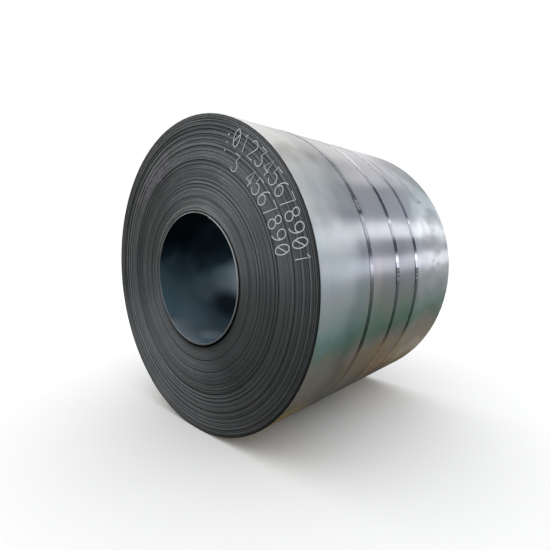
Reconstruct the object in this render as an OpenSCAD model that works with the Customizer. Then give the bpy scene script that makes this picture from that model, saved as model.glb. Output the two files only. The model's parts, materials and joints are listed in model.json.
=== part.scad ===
// Hot-rolled steel strip wound into a coil, lying with its axis level and held by three straps.
// Lengths are in millimetres and angles in degrees.
// The origin is on the floor under the middle of the coil. +Z is up and the coil's axis runs along Y,
// with the near end at -Y. A clock angle is measured from the top towards +X, as seen from the near end.

/* [Strip] */
// Thickness of the strip
strip_t = 3.2; // [1.6:0.1:6]
// Width of the strip
strip_w = 1510; // [1200:10:1850]
// Number of turns in the coil
turns = 170; // [60:1:240]

/* [Coil] */
// Diameter of the bore
bore_d = 762; // [508:1:800]
// Turns that move sideways together and show as one band on an end
band_turns = 5; // [2:1:10]
// How far the strip wanders sideways while it is wound
wander = 6; // [1:0.5:12]

/* [Straps] */
// Width of a strap
strap_w = 32; // [16:1:40]
// Thickness of a strap
strap_t = 0.9; // [0.6:0.1:1.6]
// Length of a strap's lapped ends beyond its seal, on each side
lap_tail = 15; // [5:1:40]
// First strap, from the near end to its middle
strap_1_at = 435; // [100:5:550]
// Second strap, from the near end to its middle
strap_2_at = 720; // [600:5:830]
// Third strap, from the near end to its middle
strap_3_at = 970; // [880:5:1150]

/* [Seals] */
// Length of a seal along its strap
seal_l = 57; // [30:1:90]
// Thickness of a seal's sheet
seal_t = 0.9; // [0.6:0.1:1.6]
// Opening between the two lips under a seal
seal_slit = 8; // [2:1:12]
// Clock angle of the first strap's seal
seal_1_clock = 63.5; // [0:0.5:150]
// Clock angle of the second strap's seal
seal_2_clock = 88; // [0:0.5:150]
// Clock angle of the third strap's seal
seal_3_clock = 89; // [0:0.5:150]

/* [Clearances] */
// Gap between the coil and what is strapped round it
strap_slack = 0.3; // [0.1:0.1:1]
// Gap between a seal and the strap inside it
seal_fit = 0.1; // [0.05:0.05:0.5]

/* [Hidden] */
$fn = 180;
cut = 1;

bore_r = bore_d / 2;
coil_r = bore_r + turns * strip_t;
coil_l = strip_w + wander;

// Bands of turns, counted from the bore outwards
bands = max(3, floor(turns / band_turns));
wander_steps = 4;
function band_r(i) = i == bands ? coil_r : bore_r + i * band_turns * strip_t;
function band_shift(i) = i == 0 || i == bands - 1 ? 0 : wander * ((i * 7) % (wander_steps + 1)) / wander_steps;

// A strap's inner face lies on the coil, and is lifted clear of the lips where it passes its seal
strap_r = coil_r + strap_slack;
strap_lift_x = strap_r + seal_t + seal_fit;
strap_flat = seal_l / 2 + lap_tail;
floor_r = strap_r + strap_t;

// A seal is a flat sleeve round both layers of the strap
seal_slot_x = 2 * strap_t + 2 * seal_fit;
seal_slot_w = strap_w + 2 * seal_fit;

// Strip wound into one solid, whose bands of turns step in and out on both ends
module coil() {
  near_z = coil_l / 2;
  far_z = near_z - strip_w;
  near_edge = [for (i = [0 : bands - 1], r = [band_r(i), band_r(i + 1)]) [r, near_z - band_shift(i)]];
  far_edge = [for (i = [bands - 1 : -1 : 0], r = [band_r(i + 1), band_r(i)]) [r, far_z - band_shift(i)]];
  color("slategray") lay_down() rotate_extrude() polygon(concat(near_edge, far_edge));
}

// One strap: a taut loop with its ends lapped on the flat where the seal holds them
module strap(from_near_end, seal_clock) {
  color("dimgray") lay_down() at_strap(from_near_end, seal_clock) {
    difference() {
      strap_block(strap_w, strap_t);
      strap_block(strap_w + 2 * cut, 0);
    }
    translate([strap_lift_x + strap_t, -strap_flat, -strap_w / 2]) cube([strap_t, 2 * strap_flat, strap_w]);
  }
}

// One seal: a sleeve folded round both layers of the strap, open between the lips under it
module seal(from_near_end, seal_clock) {
  outer_w = seal_slot_w + 2 * seal_t;
  color("gray") lay_down() at_strap(from_near_end, seal_clock) difference() {
    translate([strap_r, -seal_l / 2, -outer_w / 2]) cube([seal_slot_x + 2 * seal_t, seal_l, outer_w]);
    translate([strap_r + seal_t, -seal_l / 2 - cut, -seal_slot_w / 2])
      cube([seal_slot_x, seal_l + 2 * cut, seal_slot_w]);
    translate([strap_r - cut, -seal_l / 2 - cut, -seal_slit / 2])
      cube([cut + seal_t + seal_fit, seal_l + 2 * cut, seal_slit]);
  }
}

// What a strap encloses, grown outwards: a round block with a flat hump where the seal lifts it
module strap_block(width, grow) {
  r = strap_r + grow;
  x = strap_lift_x + grow;
  tangent = atan2(strap_flat, x) + acos(r / norm([x, strap_flat]));
  touch = r * [cos(tangent), sin(tangent)];
  translate([0, 0, -width / 2]) linear_extrude(width) {
    circle(r);
    polygon([[0, 0], [touch.x, -touch.y], [x, -strap_flat], [x, strap_flat], touch]);
  }
}

// Places a strap's own frame along the coil, with +X of that frame through its seal
module at_strap(from_near_end, seal_clock) {
  translate([0, 0, coil_l / 2 - from_near_end]) rotate(90 - seal_clock) children();
}

// Turns the coil's own frame, with its axis along Z and its near end up, to where the coil lies
module lay_down() {
  translate([0, 0, floor_r]) rotate([90, 0, 0]) children();
}

coil();
strap(strap_1_at, seal_1_clock);  // strap_1
strap(strap_2_at, seal_2_clock);  // strap_2
strap(strap_3_at, seal_3_clock);  // strap_3
seal(strap_1_at, seal_1_clock);  // seal_1
seal(strap_2_at, seal_2_clock);  // seal_2
seal(strap_3_at, seal_3_clock);  // seal_3
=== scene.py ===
"""A strapped coil of hot-rolled steel strip, lying on a pale studio floor.

Sizes are in metres and angles in degrees, unless a name or a comment says otherwise. A clock angle is
measured from the top towards +X, as seen from the coil's near end, which faces -Y.
"""
import json
import math
import random

import bmesh
import bpy
from mathutils import Matrix, Vector


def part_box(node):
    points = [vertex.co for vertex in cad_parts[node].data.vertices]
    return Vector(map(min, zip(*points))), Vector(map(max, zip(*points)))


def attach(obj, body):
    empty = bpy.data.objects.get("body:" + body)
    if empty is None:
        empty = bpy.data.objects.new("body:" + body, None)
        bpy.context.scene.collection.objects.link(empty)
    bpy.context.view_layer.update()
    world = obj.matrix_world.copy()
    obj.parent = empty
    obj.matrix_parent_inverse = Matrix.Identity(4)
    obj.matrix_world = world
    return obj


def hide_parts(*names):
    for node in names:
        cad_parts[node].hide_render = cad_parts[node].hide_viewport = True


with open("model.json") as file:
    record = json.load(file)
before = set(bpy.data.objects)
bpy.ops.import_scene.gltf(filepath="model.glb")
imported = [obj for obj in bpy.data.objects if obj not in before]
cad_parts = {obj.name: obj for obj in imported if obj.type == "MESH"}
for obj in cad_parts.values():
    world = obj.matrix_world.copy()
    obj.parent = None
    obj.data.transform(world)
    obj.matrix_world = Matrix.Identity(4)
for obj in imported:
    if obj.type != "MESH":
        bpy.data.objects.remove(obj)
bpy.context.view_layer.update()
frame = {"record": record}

# ---- What the frame gives ----
COIL_LOW, COIL_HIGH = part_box("coil")
MOUNTS = {m["name"]: m for m in frame["record"]["mounts"]}
BORE_R = MOUNTS["bore"]["dims"]["r_mm"] / 1000
STRIP_W = MOUNTS["bore"]["dims"]["length_mm"] / 1000
COIL_R = (COIL_HIGH.x - COIL_LOW.x) / 2
AXIS_Z = (COIL_HIGH.z + COIL_LOW.z) / 2
NEAR_Y = COIL_LOW.y
FAR_Y = COIL_HIGH.y
WANDER = (FAR_Y - NEAR_Y) - STRIP_W
STRAP_NODES = ["strap_1", "strap_2", "strap_3"]
SEAL_NODES = ["seal_1", "seal_2", "seal_3"]

# ---- The strip ----
STRIP_T = 0.0032
TAIL_CLOCK = 215          # the strip's outer end, low on the side away from the light
INNER_SHARE = 0.54        # where the strip's inner end lies, as a share of a turn back from the outer end
END_STEP = 0.0005         # how much of a turn the inner end's square cut takes
RING_STEPS = 90
TURN_COUNT = round((COIL_R - BORE_R) / STRIP_T) - 1
EDGE_ROUND = 0.22         # how much of the strip's thickness each rounded corner of its edge takes
GROOVE_DEPTH = 0.0007
WALL_LOOPS = [0.003, 0.5, 0.997]      # loops on the wide faces, the outer ones close to the edges
COIL_SHARP, PIECE_SHARP = 55, 30      # faces that meet at more than this keep a sharp edge

# How the strip slipped sideways while it was wound. The innermost turns' places are (first turn, m inside the
# near end), the outermost ones' are (turns in from the outside, share of the whole wander), and the rest are
# drawn at random: a shallow place, and now and then a turn that stands far back.
LEVEL_SEED = 11
INNER_LEVELS = [(-2, 0.0008), (3.2, 0.0052), (4.3, 0.002)]
RIM_LEVELS = [(16, 0.15), (13.4, 0.6), (12.2, 0.2), (9.6, 0.7), (8.7, 0.15), (6.2, 0.55), (5.2, 0.1),
              (2.5, 0.0)]
DRAWN_FROM, DRAWN_END = 7, 20         # turns out from the bore, and in from the outside
REACH_INNER, REACH_TURNS = 0.22, 110  # the places wander less near the bore than this many turns from it
SHALLOW = (0.08, 0.62)                # least share of the wander, and how much of it is drawn
LEVEL_TURNS = (2.5, 8.5)
LEVEL_STRETCH = (1.1, 0.45)           # places are longer near the bore
# A deep turn: its chance, the turns before it, its share of the wander and how many turns it lasts
DEEP_CHANCE, DEEP_AFTER, DEEP_SHARE, DEEP_TURNS = 0.6, (2, 4), (0.8, 1.0), (0.4, 1.2)
LEVEL_EASE = 0.25         # turns over which the strip slips from one sideways place to the next
RIPPLES = [(0.00035, 5.3, 0.0), (0.00025, 9.1, 0.5)]      # each turn's own slip: m, radians a turn, start
RIPPLE_FADE = 3           # turns over which it fades away towards the rim

# The innermost turns have sprung away from the others
LOOSE_TURNS = 3
LOOSE_GAP = 0.013
LOOSE_DEPTH = 0.30
LOOSE_FADE = 14           # turns over which the wound body closes up again outside the gap
LOOSE_FROM, LOOSE_TO = 0.005, 0.78    # shares of a turn back from the outer end, where the gap has its ends
LOOSE_UPPER, LOOSE_UPPER_FROM = 0.42, 0.4     # share of the gap that stays open over the top

# How light the strip's edges are, from 0, dark, to 1, light: wear and dirt, with painted shade and painted
# highlights
EDGE_TONE, EDGE_MOST = 0.58, 0.8      # the plain edge, and the most it gets without a scrape
GROOVE_TONE, LIP_TONE = 0.1, 0.8      # dirt and painted shade between the turns, and round the bore
LOOSE_TONE, LOOSE_HIGHLIGHT = 0.7, 0.3   # the loose innermost turns, with a painted highlight at the top and the upper right
PAINTED_TOP_LIGHT_TURNS, PAINTED_TOP_LIGHT = 18, 0.3        # innermost turns with a painted highlight at the top and painted shade at the bottom
SHADE, VARIETY = 1.1, 0.5             # painted shade: how much darker a deep turn is beside a shallow one, and by itself
SHADE_MEAN, SHADE_SWING = 0.68, 0.42  # both are weakest at the right, and strongest at the left
SHADE_INNER, SHADE_GROWTH = 0.35, 0.85        # and grow from near the bore outwards
SHADE_FROM, SHADE_OVER = 25, 110      # over these turns
SCRAPED = [5, 11.5, 101, 107.5, 116, 121.5, 128, 133, 139.5, 147, 152.5, 157.5, 162, 166]
SCRAPED_CLOCK, SCRAPED_TURNS, SCRAPE = -62, 0.8, 0.4      # turns scraped bright at the upper left of the ends
SHADE_SIDES = [(-95, 0.09), (115, 0.05)]      # painted shade on the ends at both sides: clock angle, amount
OUTER_SHADE_FROM, OUTER_SHADE_OVER, OUTER_SHADE = 130, 12, 0.22     # outer turns with painted shade at the upper left
RIM_TURNS, RIM_HIGHLIGHT_CLOCK, RIM_TONE = 0.9, 42, 0.1     # the outermost edge: dark, with a painted highlight at the upper right only
SHADED_TURNS, SHADED_CLOCKS, SHADED = 3.5, (115, -100), 0.8   # outermost turns, dark at both sides

# ---- Marks of use, and painted light and shade ----
# Scuffs and rust stains on the outer face, the warm ones low down partly a painted reflection: clock angle,
# share of the width, size in m, colour, strength
SCUFFS = [
    (72, 0.87, 0.014, "#3f565c", 0.55), (84.5, 0.82, 0.012, "#3f565c", 0.55),
    (86, 0.87, 0.012, "#3f565c", 0.55), (59, 0.84, 0.022, "#3f565c", 0.5),
    (63, 0.9, 0.026, "#3f565c", 0.45), (66, 0.84, 0.02, "#587078", 0.35), (131, 0.55, 0.09, "#e8902c", 0.7),
    (127, 0.66, 0.05, "#e0a050", 0.5), (136, 0.05, 0.09, "#f6cc40", 0.9),
]
SCUFF_STRETCH = (1.0, 0.35, 1.0)      # makes a scuff longer along the coil
# In sizes: how far a mark's edge is frayed, and how far from its middle it starts and is full
SCUFF_FRAY, SCUFF_EDGE = 2.6, (2.3, 1.3)
# Scratchy rub marks on the near end: clock angle, share of the coil's radius, size in m, strength
END_RUBS = [
    (-34, 0.81, 0.042, 0.6), (-40, 0.825, 0.036, 0.5), (-28, 0.8, 0.032, 0.5), (-45, 0.785, 0.028, 0.35),
    (-21, 0.825, 0.028, 0.35), (-51, 0.85, 0.03, 0.4), (-30, 0.765, 0.024, 0.35),
]
RUB_FRAY, RUB_EDGE = 4, (3.6, 2)
RUB_TINT = "#c4c1cb"
# Painted highlights and painted shade in cloudy patches on the bore's wall: clock angle, share of the width,
# size in m, colour, strength
BORE_PAINTED_LIGHT = [
    (256, 0.43, 0.155, "#d4e4ee", 0.95), (256, 0.34, 0.12, "#b4cad6", 0.85),
    (252, 0.24, 0.12, "#93abb8", 0.7), (247, 0.14, 0.12, "#8199a6", 0.45),
    (227, 0.33, 0.14, "#1c3340", 0.8), (288, 0.24, 0.14, "#1b2831", 0.6), (222, 0.12, 0.13, "#86a2b3", 0.5),
    (187, 0.11, 0.09, "#a4b4c1", 0.75),
]
BORE_LIGHT_EDGE = (1.3, 0.4)
# Dust and painted light low in the bore by its ends: depths from an end at which it starts and is full, share
# of the bore's height, strength
DUST_LIGHT_DEPTHS, DUST_LIGHT_HEIGHT, DUST_LIGHT = (0.14, 0.02), 0.1, 0.3

# ---- Patterns of the finishes: real sizes in millimetres ----
ZONE_EDGE_MM = 454.5      # waves of the borders between the face's zones
TEMPER_AND_REFLECTION_MM = 384.6         # patches of tempering colour and of painted reflection bands
CLOUD_MM = 588.2          # faint clouds over the whole face
STREAK_MM = (2000, 90.9, 2000)    # streaks that run round the coil, along X, Y and Z
SCUFF_MM = 18.18          # frayed edge of a scuff
WAVE_MM = 333.3           # waves in the sheet
BUCKLE_MM = 142.9         # buckles near its far edge
END_CLOUD_MM = 333.3      # clouds on the ends
SCRATCH_MM = 22.22        # scratches in a rub mark
BORE_CLOUD_MM = 312.5     # clouds in the bore
NOISE_LOW, NOISE_HIGH = 0.3, 0.7      # what a noise's values mostly lie between

# ---- The straps and their seals ----
STRAP_W, STRAP_T = 0.032, 0.0009
SEAL_L, SEAL_T = 0.057, 0.0009
SLACK = 0.0003            # between the coil and a strap or a seal
FIT = 0.0001              # between a seal and the strap inside it
LAP_TAIL = 0.015          # how far the lapped ends run on past the seal
STRAP_STEPS = 360
STRAP_ROUND = 0.3         # share of a strap's thickness that its rounded corners take
SEAL_SLIT = 0.008
SEAL_STEPS = 24
SEAL_BEND = 0.8           # radius of a seal's folds, as a share of its thickness
CRIMP_AT, CRIMP_HALF, CRIMP_IN = 0.0115, 0.0045, 0.006
CRIMP_SIDE, CRIMP_FACE = 0.5, 0.35    # how far a crimp drives the seal's sides and its top in, as shares
SEAL_CLOCKS = [63.5, 88.0, 89.0]

# ---- Painted figures on the near end ----
PEN_W, PAINT_T = 0.0065, 0.0006
FIGURE_H, FIGURE_W = 0.090, 0.045
# Name, figures, radius of their feet as a share of the coil's, clock angle of the first, degrees between two
MARK_ROWS = [
    ("marks_outer", ":012345678901", 0.858, 23.4, 4.64),
    ("marks_inner", "3 4567890", 0.737, 31.5, 5.4),
]

# ---- Camera and light ----
CAMERA_FROM_END = (1.917, -1.344, 0.269)      # from the middle of the near end
CAMERA_AZIMUTH, CAMERA_DOWN = 43.2, 6.13
CAMERA_LENS, CAMERA_SENSOR = 25.65, 36
FLOOR_R = 40
FLOOR_STEPS = 96
BACKDROP = "#ffffff"
# Light from around the coil: (degrees round the coil's axis from the top towards +X, colour), and SKY_GAIN is
# its strength where white. The list a direction takes goes by how nearly it lies along the coil's axis (0 is
# across it, 1 is along it): first AHEAD, by height, then BESIDE_NEAR, BESIDE and BESIDE_PAST.
SKY_GAIN = 2.6
BESIDE_NEAR = [
    (-180, "#3c3c37"), (-165, "#3d3f3c"), (-150, "#363838"), (-96, "#2a2b2d"), (-84, "#8e8f8f"),
    (-62, "#909191"), (-46, "#a1a1a1"), (-25, "#adadad"), (-13, "#616266"), (5, "#74767a"), (20, "#7c7f83"),
    (30, "#9ea1a7"), (44, "#64676d"), (53, "#a8acb2"), (59, "#c3c7cd"), (68, "#eef2f8"), (72, "#ccced4"),
    (77, "#95979e"), (82, "#adb1b6"), (92, "#a3a7ac"), (100, "#6b6e6e"), (125, "#49544f"), (148, "#2d3f37"),
    (160, "#363632"), (180, "#3c3c37"),
]
BESIDE = [
    (-180, "#5a4e41"), (-165, "#4a4136"), (-150, "#2a2823"), (-96, "#2a2b2d"), (-84, "#929393"),
    (-62, "#939494"), (-46, "#9f9f9f"), (-30, "#9d9d9d"), (-14, "#a0a0a1"), (3.5, "#b2b2b4"),
    (7.5, "#3b3c41"), (28, "#484a51"), (43, "#61656c"), (47, "#ffffff"), (59, "#ffffff"), (63, "#515159"),
    (78, "#515159"), (82, "#dfdde3"), (91, "#d9d7df"), (97, "#686a6a"), (125, "#4c5650"), (148, "#304037"),
    (160, "#45423b"), (170, "#5d5448"), (180, "#5a4e41"),
]
BESIDE_PAST = [
    (-180, "#5a4e41"), (-165, "#5e5448"), (-150, "#38342d"), (-96, "#2a2b2d"), (-84, "#929393"),
    (-66, "#8d8d8d"), (-56, "#717171"), (-44, "#606061"), (-30, "#5e5e5f"), (-14, "#525356"),
    (0, "#4e5054"), (7, "#7d8289"), (20, "#989ea6"), (34, "#9fa5ad"), (43, "#8e949b"), (47, "#ffffff"),
    (57, "#ffffff"), (61, "#4c4c55"), (78, "#515159"), (82, "#dfdde3"), (91, "#d9d7df"), (97, "#686a6a"),
    (125, "#4c5650"), (148, "#304037"), (160, "#45423b"), (170, "#5d5448"), (180, "#5a4e41"),
]
# (height of the light's direction from straight down, -1, to straight up, 1; colour)
AHEAD = [(-1.0, "#3f3c3a"), (-0.1, "#282a2c"), (0.05, "#2f3132"), (0.3, "#959696"), (0.7, "#cbcbcb"),
         (1.0, "#cfcfcf")]
# Where AHEAD gives way to BESIDE_NEAR, that to BESIDE, and that to BESIDE_PAST. The last border slants, as
# PAST_SLANT times the share of a turn round the axis is added first.
BORDER_NEAR = (0.6, 0.76)
BORDER_BESIDE = (0.79, 0.86)
BORDER_PAST = (0.746, 0.764)
PAST_SLANT = -0.26

# A colour Mix node's sockets go by number, because its other kinds' sockets have the same names
MIX_A, MIX_B, MIX_RESULT = 6, 7, 2


def rotated(clock):
    """Unit vector pointing out of the coil's axis at a clock angle."""
    return Vector((math.sin(math.radians(clock)), 0, math.cos(math.radians(clock))))


def facing(clock, aim):
    """1 where a clock angle is another one, 0 a quarter turn from it and -1 opposite."""
    return math.cos(math.radians(clock - aim))


def clock_of(co):
    """Clock angle of a point, from 0 to 360."""
    return math.degrees(math.atan2(co.x, co.z - AXIS_Z)) % 360


def srgb(code):
    """Linear colour of an sRGB hex code."""
    channels = [int(code[i:i + 2], 16) / 255 for i in (1, 3, 5)]
    return tuple(c / 12.92 if c <= 0.04045 else ((c + 0.055) / 1.055) ** 2.4 for c in channels) + (1.0,)


def new_object(name, bm, materials, smooth_below=PIECE_SHARP):
    """A finished piece from a bmesh, shaded smooth where its faces meet at less than the given angle."""
    mesh = bpy.data.meshes.new(name)
    bm.to_mesh(mesh)
    bm.free()
    for material in materials:
        mesh.materials.append(material)
    mesh.shade_smooth()
    mesh.set_sharp_from_angle(angle=math.radians(smooth_below))
    piece = bpy.data.objects.new(name, mesh)
    bpy.context.scene.collection.objects.link(piece)
    return piece


# ---- Materials ----
def new_material(name):
    """A material with an empty node tree."""
    material = bpy.data.materials.new(name)
    material.use_nodes = True
    tree = material.node_tree
    tree.nodes.clear()
    return material, tree


def add(tree, kind, inputs=None, stops=(), easing="LINEAR", **settings):
    """Adds a node, sets its properties and its ramp's (place, sRGB hex), and sets or links its inputs."""
    node = tree.nodes.new(kind)
    for key, value in settings.items():
        setattr(node, key, value)
    if stops:
        elements = node.color_ramp.elements
        node.color_ramp.interpolation = easing
        while len(elements) < len(stops):
            elements.new(1.0)
        for element, (place, code) in zip(elements, stops):
            element.position, element.color = place, srgb(code)
    for key, value in (inputs or {}).items():
        if isinstance(value, bpy.types.NodeSocket):
            tree.links.new(value, node.inputs[key])
        else:
            node.inputs[key].default_value = value
    return node


def uneven(tree, place, size_mm, detail, reach):
    """A cloudy value that runs from about -reach to reach over patches of the given size."""
    noise = add(tree, "ShaderNodeTexNoise", {"Vector": place, "Scale": 1000 / size_mm, "Detail": detail})
    spread = add(tree, "ShaderNodeMapRange", {"Value": noise.outputs["Fac"], "From Min": NOISE_LOW,
                                              "From Max": NOISE_HIGH, "To Min": -reach, "To Max": reach})
    return spread.outputs[0]


def width_place(tree, place):
    """Share of the strip's width from the near end, a little uneven, for finishes that change across it."""
    axes = add(tree, "ShaderNodeSeparateXYZ", {"Vector": place})
    share = add(tree, "ShaderNodeMapRange", {"Value": axes.outputs["Y"], "From Min": NEAR_Y,
                                             "From Max": NEAR_Y + STRIP_W})
    nudge = uneven(tree, place, ZONE_EDGE_MM, 2.0, 0.07)
    return add(tree, "ShaderNodeMath", {0: share.outputs[0], 1: nudge}, operation="ADD").outputs[0]


def height_place(tree, place, low, high, nudge=None):
    """Share of the way up from one height to another, for finishes that change from top to bottom."""
    height = add(tree, "ShaderNodeSeparateXYZ", {"Vector": place}).outputs["Z"]
    if nudge is not None:
        height = add(tree, "ShaderNodeMath", {0: height, 1: nudge}, operation="ADD").outputs[0]
    return add(tree, "ShaderNodeMapRange", {"Value": height, "From Min": low, "From Max": high}).outputs[0]


def marked(tree, tone, off, size, edge, amount, code, easing="LINEAR"):
    """A tone with a mark of another colour, which starts and is full at the given sizes off its middle."""
    start, full = edge
    cover = add(tree, "ShaderNodeMapRange", {"Value": off, "From Min": size * start, "From Max": size * full,
                                             "To Min": 0.0, "To Max": amount}, interpolation_type=easing)
    mixed = add(tree, "ShaderNodeMix", {"Factor": cover.outputs[0], MIX_A: tone, MIX_B: srgb(code)},
                data_type="RGBA")
    return mixed.outputs[MIX_RESULT]


# Tempering colours of the scale with painted reflection bands, in three zones across the width: rusty brown low
# down, partly a painted reflection, greenish above it and bluish at the middle, with lighter and darker bands
# of painted reflection. (Share of the coil's height, colour)
TEMPER_AND_REFLECTION_NEAR = [
    (0.13, "#f0cf78"), (0.166, "#dcc694"), (0.19, "#dfd0b0"), (0.22, "#e2d9c5"), (0.25, "#e4dccb"),
    (0.285, "#e6e3d5"), (0.314, "#d0e1cf"), (0.346, "#c2e8de"), (0.38, "#d6faf4"), (0.414, "#f0ffff"),
    (0.45, "#f2ffff"), (0.483, "#f6fcff"), (0.518, "#edf8ff"), (0.56, "#e6eef2"), (0.62, "#f0f6f8"),
    (0.69, "#e8ecf0"), (0.72, "#ffffff"), (0.78, "#fffdfb"), (0.81, "#f2ece8"), (0.84, "#d9d3cf"),
    (0.87, "#ddd7d3"), (0.9, "#f3eee9"), (0.96, "#ece8e3"),
]
TEMPER_AND_REFLECTION_MID = [
    (0.13, "#a08a60"), (0.166, "#b79e6f"), (0.193, "#d9c193"), (0.221, "#f2d9b8"), (0.25, "#f6e6c4"),
    (0.285, "#fdf3e6"), (0.314, "#e8f1e3"), (0.346, "#cdefda"), (0.38, "#e5ffec"), (0.414, "#fcfdf0"),
    (0.448, "#fcf6f3"), (0.483, "#fbf6f6"), (0.55, "#fbfaff"), (0.72, "#f6f9ff"), (0.85, "#fdfbf8"),
]
TEMPER_AND_REFLECTION_FAR = [
    (0.13, "#e8cfa0"), (0.17, "#f8f2e4"), (0.2, "#ffffff"), (0.225, "#fffdf8"), (0.25, "#dfdbd5"),
    (0.285, "#e3dacd"), (0.33, "#bfcec0"), (0.37, "#c9d7d2"), (0.42, "#dddcde"), (0.5, "#e9e9ea"),
    (0.555, "#dcddde"), (0.59, "#f0f1f2"), (0.63, "#d2d4d7"), (0.66, "#bdbfc1"), (0.69, "#d2d3d4"),
    (0.73, "#ffffff"), (0.77, "#ffffff"), (0.81, "#d8dadc"), (0.86, "#cdcdcf"), (1.0, "#cfcfd0"),
]
PAST_NEAR, PAST_MID = (0.23, 0.29), (0.64, 0.74)      # shares of the width between which one zone ends


def strip_face_material():
    """Hot-rolled strip, its wide face.

    Thin blue-grey mill scale with tempering colours and painted reflection bands by height: satin at the edges
    and smoother along the middle.
    """
    material, tree = new_material("hot_rolled_strip_face")
    place = add(tree, "ShaderNodeTexCoord").outputs["Object"]
    across = width_place(tree, place)
    # Darker at about a fifth of the width, and brighter over the far part, partly a painted reflection
    base = add(tree, "ShaderNodeValToRGB", {"Fac": across}, easing="EASE", stops=[
        (0.0, "#d3d5d5"), (0.12, "#cfd1d2"), (0.22, "#afb2b5"), (0.32, "#b9babd"), (0.62, "#babbc0"),
        (0.72, "#f2f5f8"), (1.0, "#f6f8f9"),
    ])
    height = height_place(tree, place, 0.0, 2 * COIL_R, uneven(tree, place, TEMPER_AND_REFLECTION_MM, 3.0, 0.12))
    temper_and_reflection = add(tree, "ShaderNodeValToRGB", {"Fac": height}, stops=TEMPER_AND_REFLECTION_NEAR).outputs["Color"]
    for (start, end), stops in zip((PAST_NEAR, PAST_MID), (TEMPER_AND_REFLECTION_MID, TEMPER_AND_REFLECTION_FAR)):
        past = add(tree, "ShaderNodeMapRange", {"Value": across, "From Min": start, "From Max": end})
        zone = add(tree, "ShaderNodeValToRGB", {"Fac": height}, stops=stops).outputs["Color"]
        temper_and_reflection = add(tree, "ShaderNodeMix", {"Factor": past.outputs[0], MIX_A: temper_and_reflection, MIX_B: zone},
                     data_type="RGBA").outputs[MIX_RESULT]
    streaked = add(tree, "ShaderNodeMapping", {"Vector": place, "Scale": [1000 / size for size in STREAK_MM]})
    streaks = add(tree, "ShaderNodeTexNoise", {"Vector": streaked.outputs[0], "Scale": 1.0, "Detail": 4.0,
                                               "Roughness": 0.6})
    streak_tone = add(tree, "ShaderNodeValToRGB", {"Fac": streaks.outputs["Fac"]}, stops=[
        (0.3, "#f5f6f7"), (0.7, "#ffffff"),
    ])
    clouds = add(tree, "ShaderNodeTexNoise", {"Vector": place, "Scale": 1000 / CLOUD_MM, "Detail": 3.0})
    cloud_tone = add(tree, "ShaderNodeValToRGB", {"Fac": clouds.outputs["Fac"]}, stops=[
        (0.36, "#dde3e3"), (0.48, "#f8f8f8"), (0.64, "#fcfafc"),
    ])
    tone = base.outputs["Color"]
    for layer in (streak_tone.outputs["Color"], cloud_tone.outputs["Color"], temper_and_reflection):
        tone = add(tree, "ShaderNodeMix", {"Factor": 1.0, MIX_A: tone, MIX_B: layer}, data_type="RGBA",
                   blend_type="MULTIPLY").outputs[MIX_RESULT]
    frayed = add(tree, "ShaderNodeTexNoise", {"Vector": place, "Scale": 1000 / SCUFF_MM, "Detail": 2.0})
    for clock, share, size, code, amount in SCUFFS:
        middle = Vector((0, NEAR_Y + share * STRIP_W, AXIS_Z)) + COIL_R * rotated(clock)
        off = add(tree, "ShaderNodeVectorMath", {0: place, 1: middle}, operation="SUBTRACT")
        off = add(tree, "ShaderNodeVectorMath", {0: off.outputs[0], 1: SCUFF_STRETCH}, operation="MULTIPLY")
        off = add(tree, "ShaderNodeVectorMath", {0: off.outputs[0]}, operation="LENGTH")
        off = add(tree, "ShaderNodeMath", {0: frayed.outputs["Fac"], 1: size * SCUFF_FRAY,
                                           2: off.outputs["Value"]}, operation="MULTIPLY_ADD")
        tone = marked(tree, tone, off.outputs[0], size, SCUFF_EDGE, amount, code)
    # The grey stops of this ramp are roughness
    rough = add(tree, "ShaderNodeValToRGB", {"Fac": across}, easing="EASE", stops=[
        (0.0, "#8d8d8d"), (0.14, "#8a8a8a"), (0.23, "#7a7a7a"), (0.64, "#787878"), (0.78, "#808080"),
    ])
    waves = add(tree, "ShaderNodeTexNoise", {"Vector": place, "Scale": 1000 / WAVE_MM, "Detail": 1.0})
    bump = add(tree, "ShaderNodeBump", {"Height": waves.outputs["Fac"], "Strength": 1.0, "Distance": 0.0022})
    buckles = add(tree, "ShaderNodeTexNoise", {"Vector": place, "Scale": 1000 / BUCKLE_MM, "Detail": 1.0})
    at_edge = add(tree, "ShaderNodeValToRGB", {"Fac": across}, stops=[(0.66, "#000000"), (0.82, "#ffffff")])
    lifted = add(tree, "ShaderNodeMath", {0: buckles.outputs["Fac"], 1: at_edge.outputs["Color"]},
                 operation="MULTIPLY")
    bump = add(tree, "ShaderNodeBump", {"Height": lifted.outputs[0], "Strength": 1.0, "Distance": 0.005,
                                        "Normal": bump.outputs[0]})
    shader = add(tree, "ShaderNodeBsdfPrincipled", {"Base Color": tone, "Metallic": 0.45,
                                                    "Roughness": rough.outputs["Color"],
                                                    "Normal": bump.outputs[0]})
    add(tree, "ShaderNodeOutputMaterial", {"Surface": shader.outputs[0]})
    return material


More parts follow.
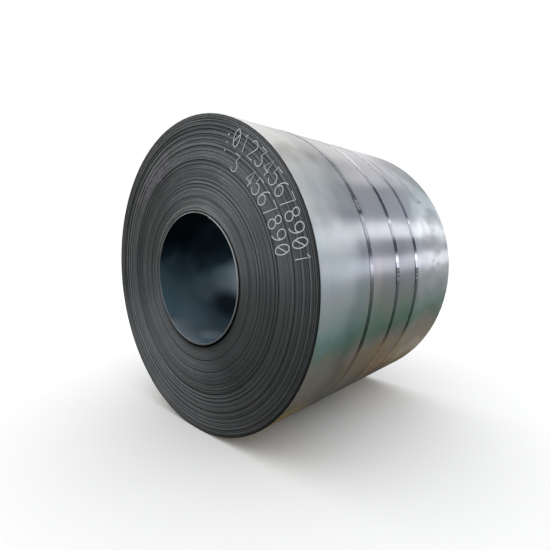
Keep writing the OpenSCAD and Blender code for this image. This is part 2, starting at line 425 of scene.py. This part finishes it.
def strip_edge_material():
    """Hot-rolled strip, its mill edges: satin dark grey, with dirt and painted shade in the grooves, painted
    shade and painted highlights on some turns, and lighter where scuffed.
    """
    material, tree = new_material("hot_rolled_strip_edge")
    place = add(tree, "ShaderNodeTexCoord").outputs["Object"]
    edge_shade_and_wear = add(tree, "ShaderNodeAttribute", attribute_name="edge_tone")
    clouds = add(tree, "ShaderNodeTexNoise", {"Vector": place, "Scale": 1000 / END_CLOUD_MM, "Detail": 4.0})
    cloud_tone = add(tree, "ShaderNodeValToRGB", {"Fac": clouds.outputs["Fac"]}, stops=[
        (0.35, "#e6e8e8"), (0.65, "#ffffff"),
    ])
    tone = add(tree, "ShaderNodeValToRGB", {"Fac": edge_shade_and_wear.outputs["Fac"]}, stops=[
        (0.0, "#1c1e1f"), (0.35, "#646667"), (0.62, "#929496"), (0.85, "#c2c3c4"), (1.0, "#f2f3f4"),
    ])
    tone = add(tree, "ShaderNodeMix", {"Factor": 1.0, MIX_A: tone.outputs["Color"],
                                       MIX_B: cloud_tone.outputs["Color"]},
               data_type="RGBA", blend_type="MULTIPLY").outputs[MIX_RESULT]
    scratches = add(tree, "ShaderNodeTexNoise", {"Vector": place, "Scale": 1000 / SCRATCH_MM, "Detail": 3.0})
    for clock, share, size, amount in END_RUBS:
        middle = Vector((0, NEAR_Y, AXIS_Z)) + share * COIL_R * rotated(clock)
        off = add(tree, "ShaderNodeVectorMath", {0: place, 1: middle}, operation="DISTANCE")
        off = add(tree, "ShaderNodeMath", {0: scratches.outputs["Fac"], 1: size * RUB_FRAY,
                                           2: off.outputs["Value"]}, operation="MULTIPLY_ADD")
        tone = marked(tree, tone, off.outputs[0], size, RUB_EDGE, amount, RUB_TINT)
    shader = add(tree, "ShaderNodeBsdfPrincipled", {"Base Color": tone, "Metallic": 0.8, "Roughness": 0.42})
    add(tree, "ShaderNodeOutputMaterial", {"Surface": shader.outputs[0]})
    return material


def bore_face_material():
    """Hot-rolled strip inside the bore: blue-black scale with painted shade overhead and painted light low
    down, painted highlights and shade in patches, and dust with painted light low by the ends.
    """
    material, tree = new_material("hot_rolled_strip_bore")
    place = add(tree, "ShaderNodeTexCoord").outputs["Object"]
    shift = uneven(tree, place, BORE_CLOUD_MM, 2.0, 0.14)
    height = height_place(tree, place, AXIS_Z - BORE_R, AXIS_Z + BORE_R, shift)
    # Painted shade overhead and painted light low down
    tone = add(tree, "ShaderNodeValToRGB", {"Fac": height}, stops=[
        (0.0, "#6b7d8a"), (0.2, "#678193"), (0.5, "#67828f"), (0.72, "#2e4450"), (0.9, "#131d25"),
    ]).outputs["Color"]
    # Painted highlights and painted shade in patches
    for clock, share, size, code, amount in BORE_PAINTED_LIGHT:
        middle = Vector((0, NEAR_Y + share * STRIP_W, AXIS_Z)) + BORE_R * rotated(clock)
        off = add(tree, "ShaderNodeVectorMath", {0: place, 1: middle}, operation="DISTANCE")
        tone = marked(tree, tone, off.outputs["Value"], size, BORE_LIGHT_EDGE, amount, code, "SMOOTHSTEP")
    # Dust and painted light low down by the ends
    axes = add(tree, "ShaderNodeSeparateXYZ", {"Vector": place})
    depth = add(tree, "ShaderNodeMath", {0: axes.outputs["Y"]}, operation="ABSOLUTE")
    lip = add(tree, "ShaderNodeMapRange", {"Value": depth.outputs[0], "From Min": FAR_Y - DUST_LIGHT_DEPTHS[0],
                                           "From Max": FAR_Y - DUST_LIGHT_DEPTHS[1]})
    low = add(tree, "ShaderNodeMapRange", {"Value": height, "From Min": DUST_LIGHT_HEIGHT, "From Max": 0.0,
                                           "To Max": DUST_LIGHT})
    dust_and_light = add(tree, "ShaderNodeMath", {0: lip.outputs[0], 1: low.outputs[0]}, operation="MULTIPLY")
    tone = add(tree, "ShaderNodeMix", {"Factor": dust_and_light.outputs[0], MIX_A: tone, MIX_B: srgb("#c9d0d4")},
               data_type="RGBA").outputs[MIX_RESULT]
    shader = add(tree, "ShaderNodeBsdfPrincipled", {"Base Color": tone, "Metallic": 0.5, "Roughness": 0.34})
    add(tree, "ShaderNodeOutputMaterial", {"Surface": shader.outputs[0]})
    return material


def strap_material(name, code, rough):
    """Blued steel strapping: smooth, with painted glints and painted shade in bands by height, and pale with
    dirt low down.
    """
    material, tree = new_material(name)
    place = add(tree, "ShaderNodeTexCoord").outputs["Object"]
    height = height_place(tree, place, 0.0, 2 * COIL_R)
    # The stops in the strap's own colour are painted glints, the darker greys around them painted shade
    tone = add(tree, "ShaderNodeValToRGB", {"Fac": height}, stops=[
        (0.2, "#cfc6b8"), (0.28, "#b5afa6"), (0.33, "#63686a"), (0.5, "#8a9095"), (0.556, "#a8adb4"),
        (0.562, code), (0.578, code), (0.595, "#6d727a"), (0.672, "#757a82"), (0.685, code), (0.7, "#757a82"),
        (0.82, "#8d9299"), (0.86, code),
    ])
    shader = add(tree, "ShaderNodeBsdfPrincipled", {"Base Color": tone.outputs["Color"], "Metallic": 1.0,
                                                    "Roughness": rough})
    add(tree, "ShaderNodeOutputMaterial", {"Surface": shader.outputs[0]})
    return material


def seal_material():
    """Bare sheet-steel seal, stamped: mid grey and satin."""
    material, tree = new_material("bare_sheet_steel")
    shader = add(tree, "ShaderNodeBsdfPrincipled", {"Base Color": srgb("#8c8f92"), "Metallic": 1.0,
                                                    "Roughness": 0.3})
    add(tree, "ShaderNodeOutputMaterial", {"Surface": shader.outputs[0]})
    return material


def paint_material():
    """White marking paint: thin, matt and chalky."""
    material, tree = new_material("white_marking_paint")
    shader = add(tree, "ShaderNodeBsdfPrincipled", {"Base Color": srgb("#e2e5e8"), "Roughness": 0.8})
    add(tree, "ShaderNodeOutputMaterial", {"Surface": shader.outputs[0]})
    return material


def floor_material():
    """Pale matt studio floor."""
    material, tree = new_material("pale_floor")
    shader = add(tree, "ShaderNodeBsdfPrincipled", {"Base Color": srgb("#efefef"), "Roughness": 0.9,
                                                    "Specular IOR Level": 0.0})
    add(tree, "ShaderNodeOutputMaterial", {"Surface": shader.outputs[0]})
    return material


# ---- The coil ----
def make_levels():
    """Sideways places of the strip's near edge, as a list of (first turn, m inside the near end)."""
    draw = random.Random(LEVEL_SEED)
    levels = list(INNER_LEVELS)
    at = DRAWN_FROM
    while at < TURN_COUNT - DRAWN_END:
        reach = REACH_INNER + (1 - REACH_INNER) * min(1, at / REACH_TURNS)
        levels.append((at, WANDER * (SHALLOW[0] + SHALLOW[1] * reach * draw.random())))
        if draw.random() < DEEP_CHANCE * reach:
            levels.append((at + draw.uniform(*DEEP_AFTER), WANDER * draw.uniform(*DEEP_SHARE)))
            levels.append((levels[-1][0] + draw.uniform(*DEEP_TURNS), levels[-3][1]))
            at = levels[-1][0]
        at += draw.uniform(*LEVEL_TURNS) * (LEVEL_STRETCH[0] - LEVEL_STRETCH[1] * reach)
    return levels + [(TURN_COUNT - inside, WANDER * depth) for inside, depth in RIM_LEVELS]


LEVELS = make_levels()


def set_back(turn):
    """How far the strip's near edge lies inside the near end, at a number of turns from the bore."""
    place = max(i for i, (start, depth) in enumerate(LEVELS) if start <= max(turn, LEVELS[0][0]))
    depth = LEVELS[place][1]
    if place:
        part = min(1, (turn - LEVELS[place][0]) / LEVEL_EASE)
        depth = LEVELS[place - 1][1] + (depth - LEVELS[place - 1][1]) * part
    ripple = sum(size * math.sin(turn * rate + start) for size, rate, start in RIPPLES)
    return min(WANDER, max(0.0, depth + ripple * min(1, abs(TURN_COUNT - 1 - turn) / RIPPLE_FADE)))


def unwound(clock):
    """Share of a turn from the strip's outer end back to a clock angle."""
    return ((TAIL_CLOCK - clock) % 360) / 360


def loose_gap(share):
    """Gap outside the innermost turns, at a share of a turn from the outer end: widest low on the +X side."""
    if not LOOSE_FROM < share < LOOSE_TO:
        return 0.0
    place = ((share - LOOSE_FROM) / (LOOSE_TO - LOOSE_FROM)) ** 0.5
    upper = LOOSE_UPPER * min(1, 12 * (LOOSE_TO - share)) if share > LOOSE_UPPER_FROM else 0
    return LOOSE_GAP * max(math.sin(math.pi * place) ** 1.3, upper)


def coil_radius(clock):
    """Outer radius of the wound coil at a clock angle."""
    return COIL_R - STRIP_T * unwound(clock)


def recess(turn, is_far):
    """How far the strip's edge lies inside the end of the coil that it shows on."""
    return WANDER - set_back(turn) if is_far else set_back(turn)


def corner_tone(line, at, clock, is_far):
    """How light a turn's edge is, from wear, dirt, painted shade and painted highlights, at a place across the
    wound turns, a number of turns and a clock angle.
    """
    if line < LOOSE_TURNS:
        # Painted highlight at the top and the upper right
        return LOOSE_TONE + LOOSE_HIGHLIGHT * max(facing(clock, 60), facing(clock, -10))
    # Painted highlight on the innermost turns at the top, and painted shade at the bottom
    painted_top_light = PAINTED_TOP_LIGHT * (facing(clock, 0) + max(0, facing(clock, -10)) * math.cos(line * 1.05))
    painted_top_light *= max(0, 1 - line / PAINTED_TOP_LIGHT_TURNS)
    depth = recess(at, is_far)
    # Painted shade on a turn that lies deeper than a neighbour
    shaded = max(depth - min(recess(at - 1, is_far), recess(at + 1, is_far)), 0) / WANDER
    strength = SHADE_INNER + SHADE_GROWTH * min(1, max(0, at - SHADE_FROM) / SHADE_OVER)
    strength *= SHADE_MEAN - SHADE_SWING * facing(clock, 70)
    # Painted shade: a deep turn is darker and a standing one lighter. Waves that don't keep step stand in for
    # the small differences from turn to turn
    varied = VARIETY * (0.5 - depth / WANDER) + 0.14 * math.sin(at * 2.9) * math.sin(at * 0.83)
    fine = 0.07 * math.sin(at * 1.9) * math.sin(at * 0.37)
    scraped = sum(math.exp(-((at - turn) / SCRAPED_TURNS) ** 2) for turn in SCRAPED)
    scraped *= max(0, facing(clock, SCRAPED_CLOCK))
    # Painted shade at both sides, and on the outer turns at the upper left
    side_shade = sum(amount * max(0, facing(clock, side)) for side, amount in SHADE_SIDES)
    side_shade += OUTER_SHADE * min(1, max(0, at - OUTER_SHADE_FROM) / OUTER_SHADE_OVER) * max(0, facing(clock, -60)) ** 0.5
    tone = EDGE_TONE + (varied - SHADE * shaded) * strength + fine + painted_top_light - side_shade
    return min(EDGE_MOST, tone) + SCRAPE * scraped


# Where a vertex of the section is: on a turn's rounded corner, between two turns, at the mouth of the loose gap
# or deep in it, or on a wide face
CORNER, GROOVE, GAP_INNER, GAP_INNER_DEEP, GAP_OUTER_DEEP, GAP_OUTER, WALL = range(7)


def coil_outline(bm, line, kind, across):
    """The wound strip's closed section: near end from the bore outwards, outer face, far end and bore."""
    def point(at, sort, side):
        v = bm.verts.new((0, NEAR_Y + side * STRIP_W, AXIS_Z + BORE_R + STRIP_T * (1 + at)))
        v[line], v[kind], v[across] = at, sort, side
        return v

    def end(side):
        points = [point(0, GROOVE, side)]
        for turn in range(TURN_COUNT):
            points += [point(turn + EDGE_ROUND, CORNER, side), point(turn + 1 - EDGE_ROUND, CORNER, side)]
            is_gap = turn == LOOSE_TURNS - 1
            sorts = (GAP_INNER, GAP_INNER_DEEP, GAP_OUTER_DEEP, GAP_OUTER) if is_gap else (GROOVE,)
            points += [point(turn + 1, sort, side) for sort in sorts]
        return points

    near = end(0)
    outer = [point(TURN_COUNT, WALL, side) for side in WALL_LOOPS]
    far = end(1)[::-1]
    bore = [point(0, WALL, side) for side in reversed(WALL_LOOPS)]
    outline = near + outer + far + bore
    return outline + [bm.edges.new((a, b)) for a, b in zip(outline, outline[1:] + outline[:1])]


def make_coil(face_material, edge_material, bore_material):
    """The strip, wound as one true spiral: every turn shows on both ends, with its own sideways slip."""
    bm = bmesh.new()
    line = bm.verts.layers.float.new("line")         # place across the wound turns, counted from the bore
    across = bm.verts.layers.float.new("across")     # place across the strip's width, 0 at the near end
    kind = bm.verts.layers.int.new("kind")
    tone = bm.verts.layers.float.new("edge_tone")    # 0 in places with dirt and painted shade, 1 on bare edges and painted highlights
    made = bmesh.ops.spin(bm, geom=coil_outline(bm, line, kind, across), cent=(0, 0, AXIS_Z), axis=(0, 1, 0),
                          angle=-math.radians(360), steps=RING_STEPS, use_merge=False)
    last = {v for v in made["geom_last"] if isinstance(v, bmesh.types.BMVert)}
    for v in bm.verts:
        # Share of a turn back from the outer end: 0 on the first ring and 1 on the last, in the same place
        share = 1.0 if v in last else (math.degrees(math.atan2(-v.co.x, v.co.z - AXIS_Z)) % 360) / 360
        if v not in last and share > 1 - 0.5 / RING_STEPS:
            share = 0.0
        if v[line] <= 1 and INNER_SHARE < share <= INNER_SHARE + 1 / RING_STEPS:
            share = INNER_SHARE + END_STEP
        # Past the strip's inner end, the innermost turn is missing and the next one faces the bore
        if v[line] < 1 and share > INNER_SHARE:
            v[line] = 1
            v[kind] = WALL if v[kind] == WALL else GROOVE
        is_bore = v[kind] == WALL and v[line] <= 1
        gap = loose_gap(share)
        radius = BORE_R + STRIP_T * (1 + v[line] - share)
        if v[line] > LOOSE_TURNS or v[kind] in (GAP_OUTER_DEEP, GAP_OUTER):
            radius += gap * math.exp(-(v[line] - LOOSE_TURNS) / LOOSE_FADE)
        is_far = v[across] > 0.5
        at = math.floor(v[line]) - share
        clock = TAIL_CLOCK - 360 * share
        if v[kind] == CORNER:
            depth = recess(at, is_far)
            v[tone] = corner_tone(v[line], at, clock, is_far)
        else:
            beside = [recess(at, is_far)] if v[line] < TURN_COUNT else []
            if v[line] > 0:
                beside.append(recess(at - 1, is_far))
            depth = max(beside) + GROOVE_DEPTH
            # Dirt and painted shade in the grooves between the turns
            v[tone] = GROOVE_TONE if v[line] > 1 else LIP_TONE
        if v[kind] in (GAP_INNER_DEEP, GAP_OUTER_DEEP):
            depth += LOOSE_DEPTH * gap / LOOSE_GAP
        # Painted shade at the mouths of the loose gap
        if v[kind] in (GAP_INNER, GAP_OUTER) and gap:
            v[tone] = 0.0
        # The outermost edge: dark, with a painted highlight at the upper right
        if v[line] > TURN_COUNT - RIM_TURNS:
            v[tone] = RIM_TONE + (1 - RIM_TONE) * max(0, facing(clock, RIM_HIGHLIGHT_CLOCK)) ** 3
        if v[line] > TURN_COUNT - SHADED_TURNS:
            v[tone] *= 1 - SHADED * max(0, *(facing(clock, side) for side in SHADED_CLOCKS)) ** 0.5
        if v[kind] == WALL:
            y = NEAR_Y + v[across] * STRIP_W + set_back(at if is_bore else at - 1)
        else:
            y = FAR_Y - depth if is_far else NEAR_Y + depth
        v.co = Vector((0, y, AXIS_Z)) + radius * rotated(clock)
    bmesh.ops.remove_doubles(bm, verts=bm.verts, dist=1e-5)
    bmesh.ops.holes_fill(bm, edges=[e for e in bm.edges if e.is_boundary], sides=0)
    bmesh.ops.recalc_face_normals(bm, faces=bm.faces)
    for face in bm.faces:
        lines = [v[line] for v in face.verts if v[kind] == WALL]
        face.material_index = 1 if not lines else 0 if max(lines) > 1 else 2
    return new_object("steel_coil", bm, [face_material, edge_material, bore_material], COIL_SHARP)


# ---- Straps and seals ----
def strap_frame(clock, y):
    """Turns a strap's own frame (X out of the coil, Y along the strap, Z along the coil) to its place."""
    out, across = rotated(clock), Vector((0, 1, 0))
    matrix = Matrix((out, across.cross(out), across)).transposed().to_4x4()
    return Matrix.Translation((0, y, AXIS_Z)) @ matrix


def strap_radius(clock, seal_clock):
    """Radius of a strap's inner face: on the coil, straight past the strip's end, and flat at the seal."""
    base = coil_radius(clock) + SLACK
    past_tail = (clock - TAIL_CLOCK) % 360
    bridged = math.degrees(math.acos(1 - STRIP_T / COIL_R))
    if past_tail < bridged:
        base = max(base, (COIL_R + SLACK - STRIP_T) / math.cos(math.radians(bridged - past_tail)))
    flat_r = coil_radius(seal_clock) + SLACK + SEAL_T + FIT
    flat_half = SEAL_L / 2 + LAP_TAIL
    off = abs((clock - seal_clock + 180) % 360 - 180)
    corner = math.degrees(math.atan2(flat_half, flat_r))
    r = coil_radius(seal_clock) + SLACK
    touch = corner + math.degrees(math.acos(r / math.hypot(flat_r, flat_half)))
    if off < corner:
        return flat_r / math.cos(math.radians(off))
    if off < touch:
        return max(base, r / math.cos(math.radians(touch - off)))
    return base


def make_strap(name, y, seal_clock, material):
    """One strap: a taut band round the coil, its ends lapped under the seal."""
    bm = bmesh.new()
    half, soft = STRAP_W / 2, STRAP_T * STRAP_ROUND
    outline = [(-half + soft, 0), (half - soft, 0), (half, soft), (half, STRAP_T - soft),
               (half - soft, STRAP_T), (-half + soft, STRAP_T), (-half, STRAP_T - soft), (-half, soft)]
    points = [bm.verts.new((0, y + across, AXIS_Z + COIL_R + out)) for across, out in outline]
    edges = [bm.edges.new((a, b)) for a, b in zip(points, points[1:] + points[:1])]
    bmesh.ops.spin(bm, geom=points + edges, cent=(0, 0, AXIS_Z), axis=(0, 1, 0), angle=math.radians(360),
                   steps=STRAP_STEPS, use_merge=True)
    for v in bm.verts:
        clock = clock_of(v.co)
        height = math.hypot(v.co.x, v.co.z - AXIS_Z) - COIL_R
        v.co = Vector((0, v.co.y, AXIS_Z)) + (strap_radius(clock, seal_clock) + height) * rotated(clock)
    # The other end of the strap, on top of this one
    middle_r = coil_radius(seal_clock) + SLACK + SEAL_T + FIT + 1.5 * STRAP_T
    size = Matrix.Diagonal((STRAP_T, SEAL_L + 2 * LAP_TAIL, STRAP_W, 1))
    place = strap_frame(seal_clock, y) @ Matrix.Translation((middle_r, 0, 0))
    lap = bmesh.ops.create_cube(bm, size=1, matrix=place @ size)
    lap_edges = {e for v in lap["verts"] for e in v.link_edges}
    bmesh.ops.bevel(bm, geom=list(lap_edges), offset=soft, segments=1, profile=0.5, affect="EDGES",
                    material=-1)
    bmesh.ops.recalc_face_normals(bm, faces=bm.faces)
    return new_object(name, bm, [material])


def make_seal(name, y, seal_clock, material):
    """One seal: a sheet sleeve folded round the lapped strap, pinched by two pairs of crimps."""
    bm = bmesh.new()
    low = coil_radius(seal_clock) + SLACK + SEAL_T / 2
    high = low + SEAL_T + 2 * STRAP_T + 2 * FIT
    side = STRAP_W / 2 + FIT + SEAL_T / 2
    lip = SEAL_SLIT / 2
    path = [(low, -lip), (low, -side), (high, -side), (high, side), (low, side), (low, lip)]
    points = [bm.verts.new((out, -SEAL_L / 2, across)) for out, across in path]
    edges = [bm.edges.new((a, b)) for a, b in zip(points, points[1:])]
    for _ in range(SEAL_STEPS):
        made = bmesh.ops.extrude_edge_only(bm, edges=edges)["geom"]
        ends = {v for v in made if isinstance(v, bmesh.types.BMVert)}
        bmesh.ops.translate(bm, vec=(0, SEAL_L / SEAL_STEPS, 0), verts=list(ends))
        edges = [e for e in made if isinstance(e, bmesh.types.BMEdge) and set(e.verts) <= ends]
    bends = [e for e in bm.edges if len(e.link_faces) == 2 and e.calc_face_angle() > 1]
    bmesh.ops.bevel(bm, geom=bends, offset=SEAL_T * SEAL_BEND, segments=2, profile=0.5, affect="EDGES",
                    material=-1)
    for v in bm.verts:
        nearest = min(abs(v.co.y - at) for at in (-CRIMP_AT, CRIMP_AT))
        pinch = max(0, 1 - nearest / CRIMP_HALF) * max(0, (abs(v.co.z) - side + CRIMP_IN) / CRIMP_IN)
        v.co.z -= math.copysign(CRIMP_IN * CRIMP_SIDE * pinch, v.co.z)
        v.co.x -= (v.co.x - low) * CRIMP_FACE * pinch
    bmesh.ops.recalc_face_normals(bm, faces=bm.faces)
    bmesh.ops.solidify(bm, geom=list(bm.faces), thickness=SEAL_T)
    bmesh.ops.transform(bm, matrix=strap_frame(seal_clock, y), verts=bm.verts)
    bmesh.ops.recalc_face_normals(bm, faces=bm.faces)
    return new_object(name, bm, [material])


# ---- Marks on the near end ----
def arc(cx, cy, rx, ry, start, end, count=9):
    """Points along part of an ellipse, in a figure's own square: X to the right, Y up, angles from +X."""
    turn = [math.radians(start + (end - start) * i / (count - 1)) for i in range(count)]
    return [(cx + rx * math.cos(a), cy + ry * math.sin(a)) for a in turn]


# Pen strokes of each figure, in a box 1 wide and 2 high. The colon has a third dot, under its line.
FIGURES = {
    ":": [arc(0.5, 1.0, 0.08, 0.08, 0, 360, 5), arc(0.5, 0.1, 0.08, 0.08, 0, 360, 5),
          arc(0.45, -0.8, 0.06, 0.06, 0, 360, 5)],
    "0": [arc(0.5, 1, 0.5, 1, 0, 360, 21), [(0.14, 0.5), (0.86, 1.5)]],
    "1": [[(0.2, 1.6), (0.55, 2), (0.55, 0)]],
    "2": [arc(0.5, 1.5, 0.5, 0.5, 165, -40) + [(0, 0), (1, 0)]],
    "3": [[(0.05, 2), (0.95, 2), (0.45, 1.2)] + arc(0.45, 0.6, 0.55, 0.6, 90, -150)],
    "4": [[(0.75, 0), (0.75, 2), (0, 0.6), (1, 0.6)]],
    "5": [[(0.95, 2), (0.1, 2), (0.05, 1.1)] + arc(0.45, 0.65, 0.55, 0.65, 110, -150)],
    "6": [arc(0.5, 0.6, 0.5, 0.6, 180, -180, 17), arc(1.0, 0.7, 1.0, 1.3, 100, 180)],
    "7": [[(0, 2), (1, 2), (0.35, 0)]],
    "8": [arc(0.5, 0.55, 0.5, 0.55, 90, 450, 17), arc(0.5, 1.55, 0.42, 0.45, -90, 270, 17)],
    "9": [arc(0.5, 1.4, 0.5, 0.6, 0, 360, 17), arc(0.0, 1.3, 1.0, 1.3, 0, -80)],
}


def make_marks(name, text, base_r, first_clock, pitch, material):
    """A row of painted figures along an arc of the near end, their feet towards the bore."""
    curve = bpy.data.curves.new(name, "CURVE")
    curve.dimensions = "3D"
    curve.bevel_depth, curve.bevel_resolution, curve.use_fill_caps = PEN_W / 2, 1, True
    for place, figure in enumerate(text):
        clock = first_clock + pitch * place
        up, right = rotated(clock), rotated(clock + 90)
        for stroke in FIGURES.get(figure, []):
            spline = curve.splines.new("POLY")
            spline.points.add(len(stroke) - 1)
            for point, (x, h) in zip(spline.points, stroke):
                foot = Vector((0, 0, AXIS_Z)) + up * base_r
                co = foot + up * (h / 2 * FIGURE_H) + right * ((x - 0.5) * FIGURE_W)
                point.co = (co.x, 0, co.z, 1)
    holder = bpy.data.objects.new(name + "_pen", curve)
    mesh = bpy.data.meshes.new_from_object(holder)
    bm = bmesh.new()
    bm.from_mesh(mesh)
    bpy.data.objects.remove(holder)
    bpy.data.meshes.remove(mesh)
    bmesh.ops.scale(bm, vec=(1, PAINT_T / PEN_W, 1), verts=bm.verts)
    bmesh.ops.translate(bm, vec=(0, NEAR_Y - PAINT_T / 2, 0), verts=bm.verts)
    bmesh.ops.remove_doubles(bm, verts=bm.verts, dist=1e-6)
    bmesh.ops.recalc_face_normals(bm, faces=bm.faces)
    return new_object(name, bm, [material])


# ---- Build ----
coil = make_coil(strip_face_material(), strip_edge_material(), bore_face_material())
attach(coil, "root")
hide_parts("coil")

# Strap 1 gets a darker copy of the strapping, painted shade for the reflections it shows
strap_1_painted_darker = strap_material("blued_strapping_painted_darker", "#8f949d", 0.17)
bright = strap_material("blued_steel_strapping", "#e4e8ee", 0.12)
sheet = seal_material()
strappings = [strap_1_painted_darker, bright, bright]
for strap_node, seal_node, seal_clock, strapping in zip(STRAP_NODES, SEAL_NODES, SEAL_CLOCKS, strappings):
    low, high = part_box(strap_node)
    middle = (low.y + high.y) / 2
    strap = make_strap("steel_" + strap_node, middle, seal_clock, strapping)
    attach(strap, "root")
    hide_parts(strap_node)
    seal = make_seal("steel_" + seal_node, middle, seal_clock, sheet)
    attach(seal, "root")
    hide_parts(seal_node)

paint = paint_material()
for name, text, base, first, pitch in MARK_ROWS:
    marks = make_marks(name, text, base * COIL_R, first, pitch, paint)
    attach(marks, "root")

# ---- Studio ----
bm = bmesh.new()
bmesh.ops.create_circle(bm, cap_ends=True, segments=FLOOR_STEPS, radius=FLOOR_R)
floor = new_object("studio_floor", bm, [floor_material()])
# The light from below the coil is in the lists, so the floor takes no part in it
floor.visible_glossy = False
floor.visible_diffuse = False


def scaled(stops, low, high):
    """Ramp stops whose places run from low to high, brought to 0 to 1."""
    return [((at - low) / (high - low), code) for at, code in stops]


world = bpy.data.worlds.new("studio")
bpy.context.scene.world = world
world.use_nodes = True
tree = world.node_tree
tree.nodes.clear()
toward = add(tree, "ShaderNodeSeparateXYZ", {"Vector": add(tree, "ShaderNodeTexCoord").outputs["Generated"]})
angle = add(tree, "ShaderNodeMath", {0: toward.outputs["X"], 1: toward.outputs["Z"]}, operation="ARCTAN2")
angle = add(tree, "ShaderNodeMapRange", {"Value": angle.outputs[0], "From Min": -math.pi,
                                         "From Max": math.pi})
height = add(tree, "ShaderNodeMapRange", {"Value": toward.outputs["Z"], "From Min": -1.0, "From Max": 1.0})
along = add(tree, "ShaderNodeMath", {0: toward.outputs["Y"]}, operation="ABSOLUTE")
slid = add(tree, "ShaderNodeMath", {0: angle.outputs[0], 1: PAST_SLANT, 2: along.outputs[0]},
           operation="MULTIPLY_ADD")
ahead = add(tree, "ShaderNodeValToRGB", {"Fac": height.outputs[0]}, stops=scaled(AHEAD, -1, 1)).outputs[0]
beside_near, beside, light = [
    add(tree, "ShaderNodeValToRGB", {"Fac": angle.outputs[0]}, stops=scaled(stops, -180, 180)).outputs[0]
    for stops in (BESIDE_NEAR, BESIDE, BESIDE_PAST)
]
for before, place, (start, end) in ((beside, slid, BORDER_PAST), (beside_near, along, BORDER_BESIDE),
                                    (ahead, along, BORDER_NEAR)):
    past = add(tree, "ShaderNodeMapRange", {"Value": place.outputs[0], "From Min": start, "From Max": end},
               interpolation_type="SMOOTHSTEP")
    light = add(tree, "ShaderNodeMix", {"Factor": past.outputs[0], MIX_A: before, MIX_B: light},
                data_type="RGBA").outputs[MIX_RESULT]
around = add(tree, "ShaderNodeBackground", {"Color": light, "Strength": SKY_GAIN})
behind = add(tree, "ShaderNodeBackground", {"Color": srgb(BACKDROP), "Strength": 1.0})
path = add(tree, "ShaderNodeLightPath")
seen = add(tree, "ShaderNodeMixShader", {0: path.outputs["Is Camera Ray"], 1: around.outputs[0],
                                         2: behind.outputs[0]})
add(tree, "ShaderNodeOutputWorld", {"Surface": seen.outputs[0]})

camera_data = bpy.data.cameras.new("camera")
camera_data.lens, camera_data.sensor_width = CAMERA_LENS, CAMERA_SENSOR
camera = bpy.data.objects.new("camera", camera_data)
camera.location = Vector((0, NEAR_Y, AXIS_Z)) + Vector(CAMERA_FROM_END)
turn, down = math.radians(CAMERA_AZIMUTH), math.radians(CAMERA_DOWN)
aim = Vector((-math.sin(turn) * math.cos(down), math.cos(turn) * math.cos(down), -math.sin(down)))
camera.rotation_euler = aim.to_track_quat("-Z", "Y").to_euler()
bpy.context.scene.collection.objects.link(camera)
bpy.context.scene.camera = camera
bpy.context.scene.view_settings.view_transform = "Standard"
